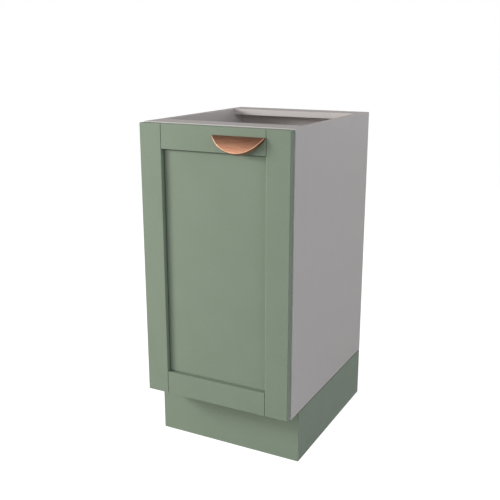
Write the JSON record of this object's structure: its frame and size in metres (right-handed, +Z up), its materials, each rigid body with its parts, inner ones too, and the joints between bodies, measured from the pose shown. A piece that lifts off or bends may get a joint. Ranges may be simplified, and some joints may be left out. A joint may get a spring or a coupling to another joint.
{
  "type": "kitchen base cabinet",
  "caption": "Narrow kitchen base cabinet with a framed hinged door, half-moon handle, inner shelf, open top rails, height-adjustable feet and clip-on plinth.",
  "frame": {"origin": "on the floor, in the middle of the whole cabinet's width and depth, handle included", "axes": "+X to the right seen from the front, +Y towards the wall, +Z up; the door looks along -Y"},
  "size_m": [0.4, 0.539, 0.84],
  "materials": {
    "board": "light grey melamine, matt",
    "edge_band": "light grey edge band, satin",
    "back_board": "thin hardboard, light grey face",
    "green_lacquer": "sage green lacquer, satin",
    "green_plinth": "sage green lacquer, satin",
    "copper": "brushed copper plating",
    "steel": "nickel plated",
    "zinc": "die-cast zinc, satin",
    "beech": "bare beech",
    "black_plastic": "black moulded plastic",
    "clear_rubber": "soft clear pad"
  },
  "bodies": {
    "cabinet": {"left_side": "board", "right_side": "board", "bottom_panel": "board", "front_rail": "board", "back_rail": "board", "back_panel": "back_board", "edge_bands": "edge_band", "shelf": "board", "shelf_pins": "steel", "dowels": "beech", "cam_bolts": "steel", "cam_housings": "zinc", "hinge_plates": "zinc", "hinge_plate_screws": "steel", "hinge_arms": "steel", "hinge_arm_screws": "steel", "hinge_arm_pins": "steel", "leg_sockets": "black_plastic", "socket_screws": "steel", "leg_tubes": "black_plastic", "plinth_front": "green_plinth", "plinth_left": "green_plinth", "plinth_right": "green_plinth", "plinth_clips": "black_plastic"},
    "outer_links": {"hinge_outer_links": "steel"},
    "inner_links": {"hinge_inner_links": "zinc"},
    "door": {"door_left_stile": "green_lacquer", "door_right_stile": "green_lacquer", "door_top_rail": "green_lacquer", "door_bottom_rail": "green_lacquer", "door_panel": "green_lacquer", "door_bumpers": "clear_rubber", "handle": "copper", "handle_screws": "steel", "hinge_cups": "steel", "hinge_cup_screws": "steel", "hinge_cup_pins": "steel"},
    "foot_front_left": {"foot_front_left": "black_plastic"},
    "foot_front_right": {"foot_front_right": "black_plastic"},
    "foot_back_left": {"foot_back_left": "black_plastic"},
    "foot_back_right": {"foot_back_right": "black_plastic"}
  },
  "joints": [
    {"name": "outer_link_pivot", "type": "hinge", "parent": "cabinet", "child": "outer_links", "pos_m": [-0.162, -0.213, 0.492], "axis": [0, 0, 1], "range_deg": [0, 35]},
    {"name": "door_pivot", "type": "hinge", "parent": "outer_links", "child": "door", "pos_m": [-0.187, -0.23, 0.492], "axis": [0, 0, -1], "range_deg": [0, 130]},
    {"name": "inner_link_pivot", "type": "hinge", "parent": "cabinet", "child": "inner_links", "pos_m": [-0.1645, -0.2315, 0.492], "axis": [0, 0, 1], "range_deg": [0, 60]},
    {"name": "foot_front_left_adjust", "type": "slide", "parent": "cabinet", "child": "foot_front_left", "axis": [0, 0, -1], "range_m": [0, 0.02]},
    {"name": "foot_front_right_adjust", "type": "slide", "parent": "cabinet", "child": "foot_front_right", "axis": [0, 0, -1], "range_m": [0, 0.02]},
    {"name": "foot_back_left_adjust", "type": "slide", "parent": "cabinet", "child": "foot_back_left", "axis": [0, 0, -1], "range_m": [0, 0.02]},
    {"name": "foot_back_right_adjust", "type": "slide", "parent": "cabinet", "child": "foot_back_right", "axis": [0, 0, -1], "range_m": [0, 0.02]}
  ],
  "couplings": [
    {"joint": "outer_link_pivot", "follows": "door_pivot", "ratio": 0.26923},
    {"joint": "inner_link_pivot", "follows": "door_pivot", "ratio": 0.46154}
  ]
}
